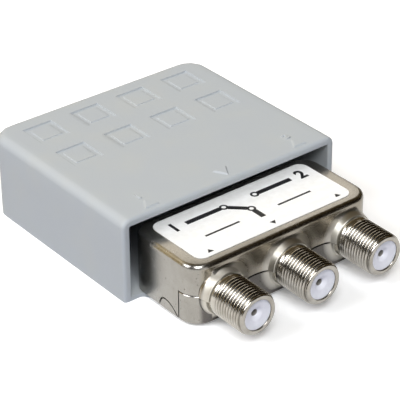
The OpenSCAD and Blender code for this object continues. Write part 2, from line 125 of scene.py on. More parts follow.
def makePiece(name, patches, caps=(), sharp=meshing["sharpDeg"], fields=None):
    # Joins grids of points and flat caps into one welded mesh, with hard edges only where faces turn sharply
    points, faces, start = [], [], 0
    for patch in patches:
        grid = patch["points"]
        rows, cols = grid.shape[:2]
        faces += cells(rows, cols, patch.get("closed", False), start, patch.get("flip", False)).tolist()
        points.append(grid.reshape(-1, 3))
        start += rows * cols
    for loop in caps:
        faces.append(list(range(start, start + len(loop))))
        points.append(np.asarray(loop))
        start += len(loop)
    mesh = bpy.data.meshes.new(name)
    mesh.from_pydata((np.concatenate(points) * mm).tolist(), [], faces)
    for field, values in (fields or {}).items():
        layer = mesh.attributes.new(field, "FLOAT", "POINT")
        layer.data.foreach_set("value", np.resize(values, start).astype(np.float32))
    weld(mesh, meshing["weldMm"], meshing["fineWeldMm"])
    mesh.polygons.foreach_set("use_smooth", np.ones(len(mesh.polygons), bool))
    mesh.set_sharp_from_angle(angle=math.radians(sharp))
    return addObject(name, mesh)


def gather(parts):
    # Splits (patch, caps) pairs into one list of patches and one of caps
    return [patch for patch, _ in parts], [cap for _, caps in parts for cap in caps]


def coat(piece, finish):
    piece.data.materials.clear()
    piece.data.materials.append(finishes[finish])


def dress(piece, finish, body, slot, *replaced):
    # Gives a piece its finish and its body, and hides the solids that it stands for
    coat(piece, finish)
    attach(piece, body)
    if replaced:
        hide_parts(*replaced)
    print("made", piece.name, len(piece.data.polygons), "faces")


def roundBar(low, high, edge, steps=3):
    # Box with rounded edges: every direction of a sphere, moved out to the inner box's own corner
    low, high = np.array(low, float), np.array(high, float)
    quarter = quarterTurn(steps)
    turn = np.concatenate([quarter + k * math.pi / 2 for k in range(4)])[None, :]
    lift = np.concatenate([quarter - math.pi / 2, quarter])[:, None]
    sideX = np.repeat([1, -1, -1, 1], steps)[None, :]
    sideY = np.repeat([1, 1, -1, -1], steps)[None, :]
    sideZ = np.repeat([-1, 1], steps)[:, None]
    reach = (high - low) / 2 - edge
    middle = (high + low) / 2
    grid = np.stack(np.broadcast_arrays(
        middle[0] + sideX * reach[0] + edge * np.cos(lift) * np.cos(turn),
        middle[1] + sideY * reach[1] + edge * np.cos(lift) * np.sin(turn),
        middle[2] + sideZ * reach[2] + edge * np.sin(lift)), -1)
    corners = slice(0, None, steps)
    return {"points": grid, "closed": True}, [grid[0, corners][::-1], grid[-1, corners]]


# Materials

def addNode(tree, kind, settings=None, links=None):
    # Adds a node: settings are its colour stops, properties or sockets, and links say which socket or node
    # feeds each of its sockets. A node feeds by its first live output
    node = tree.nodes.new(kind)
    for key, value in (settings or {}).items():
        if key == "stops":
            elements = node.color_ramp.elements
            while len(elements) < len(value):
                elements.new(0.5)
            for element, (position, code) in zip(elements, value):
                element.position, element.color = position, linear(code)
        elif isinstance(key, str) and hasattr(node, key):
            setattr(node, key, value)
        else:
            node.inputs[key].default_value = value
    for key, source in (links or {}).items():
        if isinstance(source, bpy.types.Node):
            source = next(output for output in source.outputs if output.enabled)
        tree.links.new(source, node.inputs[key])
    return node


def newMaterial(name):
    material = bpy.data.materials.new(name)
    material.use_nodes = True
    tree = material.node_tree
    tree.nodes.clear()
    return material, tree


def newFinish(name):
    # Material with the piece's own Object coordinates
    material, tree = newMaterial(name)
    return material, tree, addNode(tree, "ShaderNodeTexCoord").outputs["Object"]


def finishMaterial(tree, settings, links):
    shader = addNode(tree, "ShaderNodeBsdfPrincipled", settings, links)
    addNode(tree, "ShaderNodeOutputMaterial", links={"Surface": shader})


def mouldedPlastic():
    # Moulded ABS, spark-eroded mould: even pale grey, satin, with a grain of a third of a millimetre
    look = {"base": "#B2B7BA", "cool": "#B1B6BA", "warm": "#B4B8B9", "grainMm": 0.35, "cloudMm": 9,
            "rough": (0.55, 0.68), "bump": 0.12, "deepMm": 0.03}
    material, tree, coords = newFinish("mouldedAbs")
    cloud = addNode(tree, "ShaderNodeTexNoise", {"Scale": perMm(look["cloudMm"]), "Detail": 3.0},
                    {"Vector": coords})
    colour = addNode(tree, "ShaderNodeValToRGB",
                     {"stops": [(0.3, look["cool"]), (0.5, look["base"]), (0.7, look["warm"])]},
                     {"Fac": cloud})
    grain = addNode(tree, "ShaderNodeTexNoise", {"Scale": perMm(look["grainMm"]), "Detail": 2.0},
                    {"Vector": coords})
    gloss = addNode(tree, "ShaderNodeMapRange", {"To Min": look["rough"][0], "To Max": look["rough"][1]},
                    {"Value": grain})
    bump = addNode(tree, "ShaderNodeBump", {"Strength": look["bump"], "Distance": look["deepMm"] * mm},
                   {"Height": grain})
    finishMaterial(tree, {"IOR": 1.52, "Specular IOR Level": 0.4},
                   {"Base Color": colour, "Roughness": gloss, "Normal": bump})
    return material


def tinnedSheet(name, frontShade):
    # Tinned and drawn steel sheet: warm grey, satin, with gloss stretched up and down by the draw lines,
    # cloudy patches and small pits; painted shade darkens the front wall and a painted sheen pales the necks
    look = {"pale": "#ACA9A3", "dark": "#98958E", "rough": (0.21, 0.31), "cloudMm": 5, "mottle": 0.72,
            "lineMm": 0.5, "lineSquash": 0.06, "lineShare": 0.35, "stretch": 0.7,
            "speckMm": 0.55, "pit": "#6E6A64", "pitFrom": 0.71, "pitTo": 0.77, "bump": 0.2, "deepMm": 0.03,
            "frontShadeFrom": -18.0, "frontShadeTo": -16.0, "frontShadeSpan": (0.15, 0.3, 0.55, 0.8),
            # neck is the colour of the painted sheen on the necks
            "neck": "#C9C5BB", "neckEnd": 0.3, "neckDull": 0.21}
    material, tree, coords = newFinish(name)
    cloud = addNode(tree, "ShaderNodeTexNoise",
                    {"Scale": perMm(look["cloudMm"]), "Detail": 7.0, "Roughness": look["mottle"]},
                    {"Vector": coords})
    colour = addNode(tree, "ShaderNodeValToRGB", {"stops": [(0.3, look["dark"]), (0.7, look["pale"])]},
                     {"Fac": cloud})
    squashed = addNode(tree, "ShaderNodeMapping", {"Scale": (1.0, 1.0, look["lineSquash"])},
                       {"Vector": coords})
    lines = addNode(tree, "ShaderNodeTexNoise", {"Scale": perMm(look["lineMm"]), "Detail": 2.0},
                    {"Vector": squashed})
    specks = addNode(tree, "ShaderNodeTexNoise", {"Scale": perMm(look["speckMm"]), "Detail": 1.0},
                     {"Vector": coords})
    smooth = addNode(tree, "ShaderNodeMapRange", {"From Min": look["pitFrom"], "From Max": look["pitTo"],
                                                  "To Min": 1.0, "To Max": 0.0},
                     {"Value": specks})
    pitted = addNode(tree, "ShaderNodeMix", {"data_type": "RGBA", "A": linear(look["pit"])},
                     {"Factor": smooth, "B": colour})
    # Painted shade on the front wall: its colour is darkened as if it reflected shadowed floor, by how far
    # forward a point lies
    axes = addNode(tree, "ShaderNodeSeparateXYZ", links={0: coords})
    forward = addNode(tree, "ShaderNodeMapRange",
                      {"From Min": look["frontShadeFrom"] * mm, "From Max": look["frontShadeTo"] * mm},
                      {"Value": axes.outputs["Y"]})
    span = zip(look["frontShadeSpan"], ("#000000", "#FFFFFF", "#FFFFFF", "#000000"))
    reach = addNode(tree, "ShaderNodeValToRGB", {"stops": list(span)}, {"Fac": forward})
    frontShaded = addNode(tree, "ShaderNodeMix",
                      {"data_type": "RGBA", "blend_type": "MULTIPLY", "B": linear(frontShade)},
                      {"Factor": reach, "A": pitted})
    gloss = addNode(tree, "ShaderNodeMapRange", {"To Min": look["rough"][0], "To Max": look["rough"][1]},
                    {"Value": cloud})
    # Painted sheen on the drawn necks, which stand further forward than the wall: a paler colour standing in
    # for their broad highlight, and duller (rougher) too
    neck = addNode(tree, "ShaderNodeMapRange", {"From Min": look["neckEnd"], "From Max": 0.0},
                   {"Value": forward})
    rough = addNode(tree, "ShaderNodeMath", {"operation": "MULTIPLY_ADD", 1: look["neckDull"]},
                    {0: neck, 2: gloss})
    neckSheen = addNode(tree, "ShaderNodeMix", {"data_type": "RGBA", "B": linear(look["neck"])},
                    {"Factor": neck, "A": frontShaded})
    surface = addNode(tree, "ShaderNodeMath", {"operation": "MULTIPLY_ADD", 1: look["lineShare"]},
                      {0: lines, 2: smooth})
    bump = addNode(tree, "ShaderNodeBump", {"Strength": look["bump"], "Distance": look["deepMm"] * mm},
                   {"Height": surface})
    around = addNode(tree, "ShaderNodeTangent", {"direction_type": "RADIAL", "axis": "Z"})
    finishMaterial(tree, {"Metallic": 1.0, "Anisotropic": look["stretch"], "Anisotropic Rotation": 0.25},
                   {"Base Color": neckSheen, "Roughness": rough, "Normal": bump, "Tangent": around})
    return material


def speckled(name, pale, dark, sizeMm, settings, rough, field=None, detail=3.0):
    # Everyday finish with a fine two-tone mottle at its own grain size, and gloss that follows it. A field of
    # the piece, such as its grooves or its hole, takes on a colour of its own: painted shade down in them
    material, tree, coords = newFinish(name)
    mottle = addNode(tree, "ShaderNodeTexNoise", {"Scale": perMm(sizeMm), "Detail": detail},
                     {"Vector": coords})
    colour = addNode(tree, "ShaderNodeValToRGB", {"stops": [(0.35, dark), (0.65, pale)]}, {"Fac": mottle})
    if field:
        share = addNode(tree, "ShaderNodeAttribute", {"attribute_name": field[0]})
        colour = addNode(tree, "ShaderNodeMix", {"data_type": "RGBA", "B": linear(field[1])},
                         {"Factor": share.outputs["Fac"], "A": colour})
    gloss = addNode(tree, "ShaderNodeMapRange", {"To Min": rough[0], "To Max": rough[1]}, {"Value": mottle})
    finishMaterial(tree, settings, {"Base Color": colour, "Roughness": gloss})
    return material


finishes = {
    "plastic": mouldedPlastic(),
    # The last colour is the painted shade on the front wall: slight on the can, strong on the lid's lower
    # front
    "can": tinnedSheet("tinnedCan", "#F4EFE6"),
    "lid": tinnedSheet("tinnedLid", "#A5A3A4"),
    # Bright nickel on turned brass: warm, mirror-like crests, with painted shade in dark brown down in the
    # thread, in the bore and on the tip
    "port": speckled("platedBrass", "#CFCBC3", "#B5B0A6", 2.2, {"Metallic": 1.0}, (0.14, 0.26),
                     ("groove", "#3F382C"), 4.0),
    # Polyester label stock: bright white, smooth, a hint of paper mottle
    "label": speckled("labelFilm", "#FAFAF8", "#F3F3F0", 1.5, {"IOR": 1.5}, (0.30, 0.38)),
    # Screen ink: near black, slightly duller than the film
    "ink": speckled("printInk", "#17171B", "#0E0E12", 0.6, {"IOR": 1.5}, (0.42, 0.55)),
    # Moulded polythene: bluish white and waxy, with painted shade down in the socket hole
    "insulator": speckled("mouldedPolythene", "#F6F6FB", "#EFEFF5", 1.2, {"IOR": 1.51}, (0.32, 0.42),
                          ("hole", "#85827C")),
    # Tinned phosphor bronze: warm yellow-brown, half bright
    "contact": speckled("tinnedBronze", "#C9A765", "#AF8C4C", 0.8, {"Metallic": 1.0}, (0.22, 0.36)),
    # Glass epoxy board: green under a clear, glossy solder mask
    "board": speckled("glassEpoxy", "#2F7446", "#25613A", 0.9, {"IOR": 1.55, "Coat Weight": 0.4},
                      (0.3, 0.45)),
    # Tin-silver solder: bright, and frosty where it cooled
    "solder": speckled("tinSolder", "#CDD0D4", "#A9ADB2", 0.5, {"Metallic": 1.0}, (0.24, 0.5)),
    # Filled epoxy packages: matt black
    "package": speckled("filledEpoxy", "#2C2D31", "#1F2023", 0.25, {"IOR": 1.55}, (0.5, 0.68)),
    # Fired ceramic chip: tan, half matt
    "ceramic": speckled("firedCeramic", "#BFA17C", "#A98A64", 0.3, {"IOR": 1.7}, (0.35, 0.5)),
    # Pressed ferrite: dark brown-grey, matt
    "ferrite": speckled("pressedFerrite", "#50463E", "#3B332D", 0.2, {"IOR": 1.9}, (0.5, 0.7)),
}
print("finishes", len(finishes))

# Weather cover

coverLow, coverHigh = boxMm("weather_cover")
cover = {
    "wall": 1.7, "floor": 0.9, "cornerR": 5.0, "edgeR": 2.0, "rimR": 0.75, "lipR": 0.25,
    "wallRows": (13.0, 9.0, 5.0), "bendSteps": 9, "rimSteps": 6,
    "arrowRise": 0.3, "arrowW": 4.0, "arrowL": 3.3, "arrowY": 2.9, "arrowX": (-20.0, 0.0, 20.0),
    "arrowSlope": 0.3, "padHalf": 3.75, "padInner": 2.4, "padDepth": 0.32, "padSink": 0.45,
    "padSteep": 0.12, "padDraft": 0.3, "padX": (-18.975, -6.325, 6.325, 18.975), "padY": (41.0, 28.5),
    "margin": 1.8, "columns": 40, "rows": 36, "edgeLines": 5, "lineGap": 0.012,
    "arrowColumns": (-2.3, 2.31, 0.115), "arrowRows": (1.0, 4.85, 0.11),  # from, to, step
}
coverHalf, coverDepth, arrowTop = coverHigh
coverTop = arrowTop - cover["arrowRise"]
cornerX, cornerY = coverHalf - cover["cornerR"], coverDepth - cover["cornerR"]


def padRelief(x, y):
    # Square groove round every pad: an eased step down at its outer square and part of the way up again
    # at its inner one, steep on three sides and drafted where the slope faces right
    depth = np.zeros(x.shape)
    outer, inner, sink = cover["padHalf"], cover["padInner"], cover["padSink"]
    steep, draft = cover["padSteep"], cover["padDraft"]
    for px in cover["padX"]:
        for py in cover["padY"]:
            right, away = x - px, np.abs(y - py)
            down = np.minimum((outer + right) / draft, (outer - np.maximum(right, away)) / steep)
            up = np.maximum((right - inner) / draft, (np.maximum(-right, away) - inner) / steep)
            depth += ease(down) * (sink + (1 - sink) * ease(up))
    return -cover["padDepth"] * depth


def arrowRelief(x, y):
    # Raised triangles: how far a point lies inside the nearest side, eased over the edge's slope
    rise = np.zeros(x.shape)
    width, length = cover["arrowW"], cover["arrowL"]
    for ax in cover["arrowX"]:
        along = (y - cover["arrowY"]) * (-1 if ax == 0 else 1)
        side = (length / 2 - along) * width / 2 - np.abs(x - ax) * length
        inside = np.minimum(side / math.hypot(width / 2, length), along + length / 2)
        rise += ease(inside / cover["arrowSlope"])
    return cover["arrowRise"] * rise


def coverLines():
    # Grid lines that are close together at every pad edge and over the arrows, and wide elsewhere
    half, inner = cover["padHalf"], cover["padInner"]
    edge, broad = (np.linspace(0, cover[k], cover["edgeLines"]) for k in ("padSteep", "padDraft"))
    steps = np.concatenate([inner + edge, half - edge])
    limitX, limitY = cornerX + cover["margin"], cornerY + cover["margin"]
    x = np.concatenate([np.linspace(-limitX, limitX, cover["columns"])]
                       + [px + s * steps for px in cover["padX"] for s in (-1, 1)]
                       + [px + start + broad for px in cover["padX"] for start in (-half, inner)]
                       + [ax + np.arange(*cover["arrowColumns"]) for ax in cover["arrowX"]])
    y = np.concatenate([np.linspace(cover["rimR"], limitY, cover["rows"])]
                       + [py + s * steps for py in cover["padY"] for s in (-1, 1)]
                       + [np.arange(*cover["arrowRows"])])
    thin = [np.unique(np.round(v, 3)) for v in (x, y)]
    return [v[np.concatenate([[True], np.diff(v) > cover["lineGap"]])] for v in thin]


def coverSkin():
    # Relief over a flat top, then rounded edges and walls along the top's border, outside and inside
    wall, rim, lip = cover["wall"], cover["rimR"], cover["lipR"]
    x, y = np.meshgrid(*coverLines())
    relief = np.stack([x, y, coverTop + padRelief(x, y) + arrowRelief(x, y)], -1)
    plan = relief[..., :2]
    # Border path: up the left side of the top grid, across its rear and down its right side
    path = np.concatenate([plan[:, 0], plan[-1, 1:-1], plan[::-1, -1]])
    seat = np.stack([np.clip(path[:, 0], -cornerX, cornerX), np.minimum(path[:, 1], cornerY)], -1)
    reach = np.linalg.norm(path - seat, axis=1)[:, None]
    away = (path - seat) / reach
    bend = quarterTurn(cover["bendSteps"])[None, :]
    levels = np.array([*cover["wallRows"], cover["floor"], 0.0])[None, :]

    def skin(edge, inset):
        # Flat margin, rounded edge and upright wall, all as distances along the path's outward normal
        flat, top = cover["cornerR"] - cover["edgeR"], coverTop - inset
        rho = np.concatenate([reach, flat + edge * np.sin(bend) + 0 * reach,
                              flat + edge + 0 * reach * levels], 1)
        z = np.concatenate([top + 0 * reach, top - edge + edge * np.cos(bend) + 0 * reach,
                            levels + 0 * reach], 1)
        return place(seat, away, rho, z)

    outer, inner = skin(cover["edgeR"], 0.0), skin(cover["edgeR"] - wall, wall)
    # Mouth: a rounded rim section carried along the arch of the outer skin's front edge
    arch = np.concatenate([outer[0, ::-1], relief[0, 1:-1], outer[-1]])[:, [0, 2]]
    side = np.concatenate([np.full(levels.size, math.pi / 2), bend[0, ::-1]])
    lean = np.concatenate([-side, np.zeros(len(arch) - 2 * len(side)), side[::-1]])
    inward = -np.stack([np.sin(lean), np.cos(lean)], -1)
    turn = quarterTurn(cover["rimSteps"])
    depth = np.concatenate([rim * (1 - np.cos(turn)), wall - lip + lip * np.sin(turn), [wall]])
    back = np.concatenate([rim * (1 - np.sin(turn)), lip * (1 - np.cos(turn)), [rim]])
    across = arch[:, None] + inward[:, None] * depth[None, :, None]
    mouth = np.stack([across[..., 0], back + 0 * across[..., 0], across[..., 1]], -1)
    foot = np.stack([outer[:, -1], inner[:, -1]], 1)
    patches = [{"points": relief}, {"points": outer, "flip": True}, {"points": inner},
               {"points": foot, "flip": True}, {"points": mouth}]
    ceiling = atHeight(np.concatenate([path, plan[0, -2:0:-1]]), coverTop - wall)
    return patches, [ceiling, mouth[0, ::-1], mouth[-1]]


tab = {"reach": -coverLow[1], "rootW": 51.6, "endW": 38.0, "endR": 4.0, "rootR": 1.5, "hair": 0.001,
       "slotW": 2.4, "slotL": 6.5, "slotX": 15.0, "slotMargin": 2.6, "plateFrom": 0.02, "plateLift": 0.01,
       "bendSteps": 9, "sideRows": 8, "plateRows": 6, "columns": 5}
tabLean = math.atan2((tab["rootW"] - tab["endW"]) / 2, tab["reach"])
tabEndX, tabEndY = tab["endW"] / 2 - tab["endR"], -tab["reach"] + tab["endR"]
tabSideX = tabEndX + tab["endR"] * math.cos(tabLean)
tabSideY = tabEndY - tab["endR"] * math.sin(tabLean)
tabRootY = -tab["rootR"] * (1 - math.sin(tabLean))
tabRootX = tabSideX + (tabRootY - tabSideY) * math.tan(tabLean) + tab["rootR"] * math.cos(tabLean)
slotMid = -tab["reach"] + tab["slotMargin"] + tab["slotL"] / 2
slotRun = (tab["slotL"] - tab["slotW"]) / 2


def tabHalf(y):
    # Half width of the tab: round free corner, straight tapered side, hollow corner at the root
    corner = tabEndX + np.sqrt(np.maximum(tab["endR"] ** 2 - (y - tabEndY) ** 2, 0))
    straight = tabSideX + (y - tabSideY) * math.tan(tabLean)
    hollow = tabRootX - np.sqrt(np.maximum(tab["rootR"] ** 2 - (y + tab["rootR"]) ** 2, 0))
    return np.where(y < tabSideY, corner, np.where(y < tabRootY, straight, hollow))


def slotHalf(y):
    # Half width of a tie slot: a round end on each side of a straight run
    past = np.maximum(np.abs(y - slotMid) - slotRun, 0)
    return np.sqrt(np.maximum((tab["slotW"] / 2) ** 2 - past ** 2, 0))


def backWall():
    # Floor plate and tab as one slab, in rows from the tab's free end to the rear wall
    quarter = quarterTurn(tab["bendSteps"])
    swing = 1 - np.cos(quarter)
    ends = [slotMid + s * (slotRun + tab["slotW"] / 2 * (1 - swing)) for s in (-1, 1)]
    y = np.unique(np.round(np.concatenate(
        [-tab["reach"] + (tabSideY + tab["reach"]) * swing, tabRootY * swing,
         np.linspace(tabSideY, tabRootY, tab["sideRows"]), *ends, [0.0]]), 4))
    bendR = cover["cornerR"] - cover["wall"] + cover["lipR"]
    deep = np.concatenate([np.linspace(tab["plateFrom"], cornerY, tab["plateRows"]),
                           cornerY + bendR * np.sin(quarter)[1:]])
    inside = cornerX + np.sqrt(np.maximum(bendR ** 2 - np.maximum(deep - cornerY, 0) ** 2, 0))
    half, low = np.concatenate([tabHalf(y), inside]), np.concatenate([0 * y, 0 * deep + tab["plateLift"]])
    y = np.concatenate([y, deep])
    slot, x, high = slotHalf(y), tab["slotX"], np.full(len(y), cover["floor"])
    patches, share = [], np.linspace(0, 1, tab["columns"])

    def edge(xs, rows, base, flip):
        # Upright strip from the slab's underside to its top
        grid = np.stack([np.stack([xs, rows, z], -1) for z in (base, 0 * base + cover["floor"])], 1)
        patches.append({"points": grid, "flip": flip})

    for left, right in ((-half, -x - slot), (-x + slot, x - slot), (x + slot, half)):
        across = left[:, None] + (right - left)[:, None] * share
        for z, flip in ((high, False), (low, True)):
            face = np.stack(np.broadcast_arrays(across, y[:, None], z[:, None]), -1)
            patches.append({"points": face, "flip": flip})
        for k, flip in ((0, True), (-1, False)):
            edge(across[k], np.full(share.size, y[k]), np.full(share.size, low[k]), flip)
    within = np.abs(y - slotMid) <= slotRun + tab["slotW"] / 2 + tab["hair"]  # for the rounded rows
    for s in (-1, 1):
        edge(s * half, y, low, s > 0)
        for k in (-1, 1):
            edge(s * x + k * slot[within], y[within], low[within], k < 0)
    return patches


guide = {"fromY": 6.0, "edgeR": 0.2, "sideX": 24.3, "sideZ": (0.45, 5.9), "holdX": 22.5,
         "holdZ": (15.0, 16.4), "stopX": 15, "stopHalf": 0.7, "stopFront": 2.7, "stopBack": 0.85,
         "stopLow": 0.45}


def coverGuides():
    # Side rails, hold-down rails and end stops, as rounded bars
    sunk, edge, bars = cover["wall"] / 2, guide["edgeR"], []
    end = coverDepth - sunk - cover["cornerR"]
    for s in (-1, 1):
        for x, (low, high) in ((guide["sideX"], guide["sideZ"]), (guide["holdX"], guide["holdZ"])):
            left, right = sorted((s * x, s * (coverHalf - sunk)))
            bars.append(roundBar((left, guide["fromY"], low), (right, end, high), edge))
        left, right = (s * guide["stopX"] + k * guide["stopHalf"] for k in (-1, 1))
        bars.append(roundBar((left, coverDepth - guide["stopFront"], guide["stopLow"]),
                             (right, coverDepth - guide["stopBack"], coverTop - sunk), edge))
    return gather(bars)


skinPatches, skinCaps = coverSkin()
guidePatches, guideCaps = coverGuides()
coverPiece = makePiece("coverShell", skinPatches + backWall() + guidePatches, skinCaps + guideCaps)
dress(coverPiece, "plastic", "cover", "cover_plastic", "weather_cover")

# Can and lid

sides = ("left", "centre", "right")
shellLow, shellHigh = boxMm("upper_shell")
barrelLow, barrelHigh = boxMm("barrel_centre")
can = {
    "depth": 21.6, "cornerR": 4.6, "edgeR": 1.1, "sheet": 0.8, "nick": 0.12, "hair": 0.02,
    "wrap": 5.2, "gap": 0.16, "seamGap": 0.3, "roofRing": 2.0, "middleY": 14.0, "ahead": -0.999,
    "wallRows": 14, "seamRows": 5, "columns": 60, "holeColumns": 17, "rearShare": 4, "cornerSteps": 11,
    "edgeSteps": 8, "neckRows": 8, "collarSteps": 33,
    "collarR": 5.0, "collarLen": 2.0, "lowCollarLen": 1.2, "collarIn": 0.5, "collarSlack": 0.03,
    "holeR": 4.5, "neckSwell": 0.45, "neckFrom": 0.2, "neckPower": 1.25,
    "flareOut": 0.75, "flareFrom": 8.2, "flareFade": 1.2, "flareFoot": 0.2,
    "notchY": (5.2, 6.1, 7.2, 8.4, 9.6, 10.5, 11.1, 11.5, 11.6),
    "notchZ": (0, 0.9, 1.75, 2.3, 2.5, 2.35, 1.8, 0.8, 0),
    "tongueGap": 0.28, "tongueDepth": 0.06, "tongueBack": 0.1,
}
canHalf, canRear, canTop = shellHigh
canFront, canBase = canRear - can["depth"], shellLow[2]
axisZ = (barrelLow[2] + barrelHigh[2]) / 2
portX = [float(sum(corner[0] for corner in boxMm(f"barrel_{side}")) / 2) for side in sides]
innerX = canHalf - can["cornerR"]
innerFront, innerRear = canFront + can["cornerR"], canRear - can["cornerR"]


def wallPath(fromY, front):
    # Outline of the can as seats and outward normals, from one side round the front or rear to the other
    hole = can["holeR"] * np.cos(np.linspace(0, math.pi, can["holeColumns"]))
    across = np.unique(np.round(np.concatenate(
        [np.linspace(-innerX, innerX, can["columns"])] + [px + hole for px in portX]), 3))
    across = across[np.abs(across) <= innerX]
    if front:
        s, straightY, runs = 1, innerFront, np.array([fromY, innerFront])
    else:
        s, straightY, across = -1, innerRear, across[::can["rearShare"]]  # fewer columns on the plain wall
        notch = canFront + np.array(can["notchY"])[1:]
        runs = np.concatenate([[fromY], notch, [can["middleY"] + canFront, innerRear]])
    runs, quarter, right = np.unique(runs)[::-s], quarterTurn(can["cornerSteps"]), math.pi / 2
    along, bend, wide = len(runs), len(quarter), len(across)
    x = np.concatenate([np.full(along + bend, -innerX), across, np.full(bend + along, innerX)])
    y = np.concatenate([runs, np.full(bend + wide + bend, straightY), runs[::-1]])
    turn = math.pi + s * np.concatenate([np.zeros(along), quarter, np.full(wide, right), right + quarter,
                                         np.full(along, math.pi)])
    return np.stack([x, y], -1), np.stack([np.cos(turn), np.sin(turn)], -1)


def archHeight(seats, away, level, s):
    # Height of a wall's edge at the seam: level, with a half-round bay for each port
    x = seats[:, 0] + can["cornerR"] * away[:, 0]
    onFront = away[:, 1] < can["ahead"]  # normal straight ahead
    height = np.full(len(x), level)
    for px in portX:
        bay = can["holeR"] ** 2 - (x - px) ** 2
        height = np.where(onFront & (bay > 0), axisZ + s * np.sqrt(np.maximum(bay, 0)), height)
    return height


def notchHeight(seats):
    # Lower edge of the side walls behind the seam: a pry notch that rises to a peak and drops again
    y = seats[:, 1] - canFront
    return canBase + np.interp(y, can["notchY"], can["notchZ"])


def flare(points):
    # Front wall drawn out round the ports: a quadratic swell that grows towards each port's collar
    x, y, z = np.moveaxis(points, -1, 0)
    swell, start, fade = np.zeros(x.shape), can["flareFrom"], can["flareFade"]
    for px in portX:
        rho = np.hypot(x - px, z - axisZ)
        swell = np.maximum(swell, np.clip((start - rho) / (start - can["collarR"]), 0, 1) ** 2)
    onFront = y < canFront + can["hair"]
    kept = ease((canTop - can["edgeR"] - z) / fade) * ease((z - canBase - can["flareFoot"]) / fade)
    return np.stack([x, y - np.where(onFront, can["flareOut"] * swell * kept, 0), z], -1)


def shellSurfaces(seats, away, low, belowSeam=0):
    # Sheet section: outer wall, rounded edge and flat top, nicked lower edge, inner wall. Walls that go down
    # past the seam have some rows below it, and the same rows above it as the front
    big, sheet, nick, edge = can["cornerR"], can["sheet"], can["nick"], can["edgeR"]
    low = low[:, None]
    foot = low + nick
    bend = quarterTurn(can["edgeSteps"])
    seam = 0 * low + axisZ + can["gap"] / 2 + nick if belowSeam else foot
    outerZ = np.concatenate([foot + (seam - foot) * np.arange(belowSeam) / max(belowSeam, 1),
                             seam + (canTop - edge - seam) * np.linspace(0, 1, can["wallRows"])], 1)
    outer = place(seats, away, big, outerZ)
    top = place(seats, away, np.concatenate([big - edge + edge * np.cos(bend), [can["roofRing"], 0.0]]),
                np.concatenate([canTop - edge + edge * np.sin(bend), [canTop, canTop]]))
    lowEdge = place(seats, away, np.array([big - sheet, big - sheet + nick, big - nick, big]),
                    np.concatenate([foot, low, low, foot], 1))
    inner = place(seats, away, big - sheet, np.concatenate([canTop - sheet + 0 * low, seam, foot], 1))
    return flare(outer), top, flare(lowEdge), inner


def turned(px, out, radius, angle):
    # Surface of revolution round a port's axis: rows of distances out from the can's front and of radii
    return np.stack([px + radius * np.cos(angle), canFront - out + 0 * angle,
                     axisZ + radius * np.sin(angle)], -1)


def collar(px, length, upper):
    # Half ring round a port, closed at the seam: a drawn neck whose radius falls as a power of the way along
    # it, down to a nicked rim
    inner, nick, radius = can["holeR"] - can["collarSlack"], can["nick"], can["collarR"]
    run, start, root = np.linspace(0, 1, can["neckRows"]), can["neckFrom"], -can["collarIn"]
    neck = np.stack([start + (length - nick - start) * run,
                     radius + can["neckSwell"] * (1 - run) ** can["neckPower"]], -1)
    foot = [(root, neck[0, 1])]
    rim = [(length, radius - nick), (length, inner), (root, inner)]
    section = np.concatenate([foot, neck, rim, foot])
    lift = math.asin(can["gap"] / 2 / radius)
    span = (lift, math.pi - lift) if upper else (math.pi + lift, 2 * math.pi - lift)
    grid = turned(px, *np.hsplit(section, 2), np.linspace(*span, can["collarSteps"]))
    return {"points": grid}, [grid[:-1, 0], grid[::-1, -1][:-1]]


def buildShell():
    # Front and rear walls round the can's outline, roof, sheet ends and the upper halves of the collars
    split, below = canFront + can["wrap"], can["seamRows"]
    frontSeats, frontAway = wallPath(split, True)
    rearSeats, rearAway = wallPath(split, False)
    frontLow = archHeight(frontSeats, frontAway, axisZ + can["gap"] / 2, 1)
    frontParts = shellSurfaces(frontSeats, frontAway, frontLow)
    rearParts = shellSurfaces(rearSeats, rearAway, notchHeight(rearSeats), below)
    patches = [{"points": part, "flip": True} for part in frontParts]
    patches += [{"points": part} for part in rearParts]
    # Flat roof over the seats, and its underside over the inner walls
    roof, under = (np.concatenate([frontParts[part][:, row], rearParts[part][::-1, row]])
                   for part, row in ((1, -1), (3, 0)))
    caps = [roof, under[::-1]]
    # Sheet ends that face the lid's wrapped wall: up the outside, in along the seam and down the inside
    for end, turn in ((0, -1), (-1, 1)):
        loop = [rearParts[0][end, :below + 1], frontParts[2][end, -2::-1], rearParts[2][end, :-1]]
        caps.append(np.concatenate(loop)[::turn])
    rings, ends = gather([collar(px, can["collarLen"], True) for px in portX])
    return makePiece("canShell", patches + rings, caps + ends)


def notchTongue(s):
    # Bulge of the lid's flange that fills a pry notch: the notch's own outline, drawn in by a gap all round
    gap, proud = can["tongueGap"], can["tongueDepth"]
    y = np.array(can["notchY"])
    middle = (y[0] + y[-1]) / 2
    y = middle + (y - middle) * (1 - 2 * gap / (y[-1] - y[0]))
    z = np.maximum(np.array(can["notchZ"]) - gap, 0)
    face, back = canHalf - proud, canHalf - can["sheet"] - can["tongueBack"]
    rows = [(face, 0 * z), (face, z), (back, z), (back, 0 * z), (face, 0 * z)]
    grid = np.stack([np.stack([np.full(len(y), s * x), canFront + y, canBase + up], -1) for x, up in rows])
    return {"points": grid, "flip": s < 0}


lid = {"slack": 0.05, "flangeW": 0.6, "flangeFoot": 0.4, "flangeRise": 3, "flangeR": 0.1,
       "wallRows": 8, "cornerSteps": 9}


